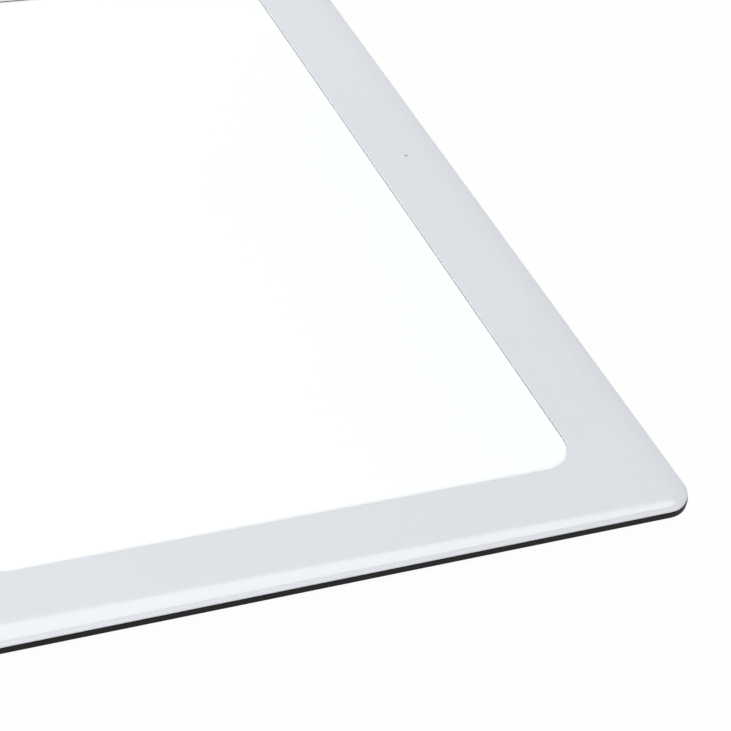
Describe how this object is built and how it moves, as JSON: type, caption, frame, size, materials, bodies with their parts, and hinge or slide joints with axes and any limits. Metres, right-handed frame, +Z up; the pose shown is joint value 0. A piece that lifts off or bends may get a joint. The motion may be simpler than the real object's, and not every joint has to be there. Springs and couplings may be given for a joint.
{
  "type": "tracing light pad",
  "caption": "Thin rectangular tracing light pad: a glossy white frame with a sloping rim around a lit drawing panel, on a black tray with rubber feet and a side power socket.",
  "frame": {"origin": "centre of the pad's outline, on the table under the rubber feet", "axes": "+X across the pad towards the side with the touch key and the socket, +Y along it away from the user, +Z up"},
  "size_m": [0.275, 0.365, 0.006],
  "materials": {
    "case_white": "gloss",
    "tray_black": "fine matt",
    "drawing_panel": "satin, lit from behind",
    "clear_acrylic": "polished",
    "white_film": "matt",
    "circuit_board": "satin",
    "white_board": "satin",
    "lamp_body": "satin",
    "black_package": "matt",
    "ceramic_chip": "matt",
    "plated_steel": "plated",
    "gold_contact": "bright",
    "copper_foil": "satin",
    "clear_lens": "polished",
    "foot_rubber": "matt",
    "black_foam": "matt",
    "adhesive": "matt",
    "black_adhesive": "matt",
    "red_insulation": "satin",
    "black_insulation": "satin"
  },
  "bodies": {
    "root": {"top_frame": "case_white", "base_tray": "tray_black", "rubber_feet": "foot_rubber", "case_screws": "plated_steel", "reflector_film": "white_film", "light_guide": "clear_acrylic", "prism_film": "white_film", "diffuser_film": "white_film", "cover_sheet": "drawing_panel", "sheet_tape": "black_adhesive", "front_foam": "black_foam", "back_foam": "black_foam", "left_lamp_board": "white_board", "left_strip_tape": "adhesive", "left_lamps": "lamp_body", "left_strip_resistors": "black_package", "right_lamp_board": "white_board", "right_strip_tape": "adhesive", "right_lamps": "lamp_body", "right_strip_resistors": "black_package", "control_board": "circuit_board", "board_screws": "plated_steel", "driver_chip": "black_package", "touch_chip": "black_package", "power_coil": "black_package", "board_capacitors": "ceramic_chip", "board_resistors": "black_package", "indicator_lamp": "lamp_body", "indicator_lens": "clear_lens", "touch_electrode": "copper_foil", "touch_contact": "gold_contact", "socket_shell": "plated_steel", "socket_insulator": "black_package", "socket_contacts": "gold_contact", "right_supply_lead": "red_insulation", "right_return_lead": "black_insulation", "left_supply_lead": "red_insulation", "left_return_lead": "black_insulation"}
  },
  "joints": []
}
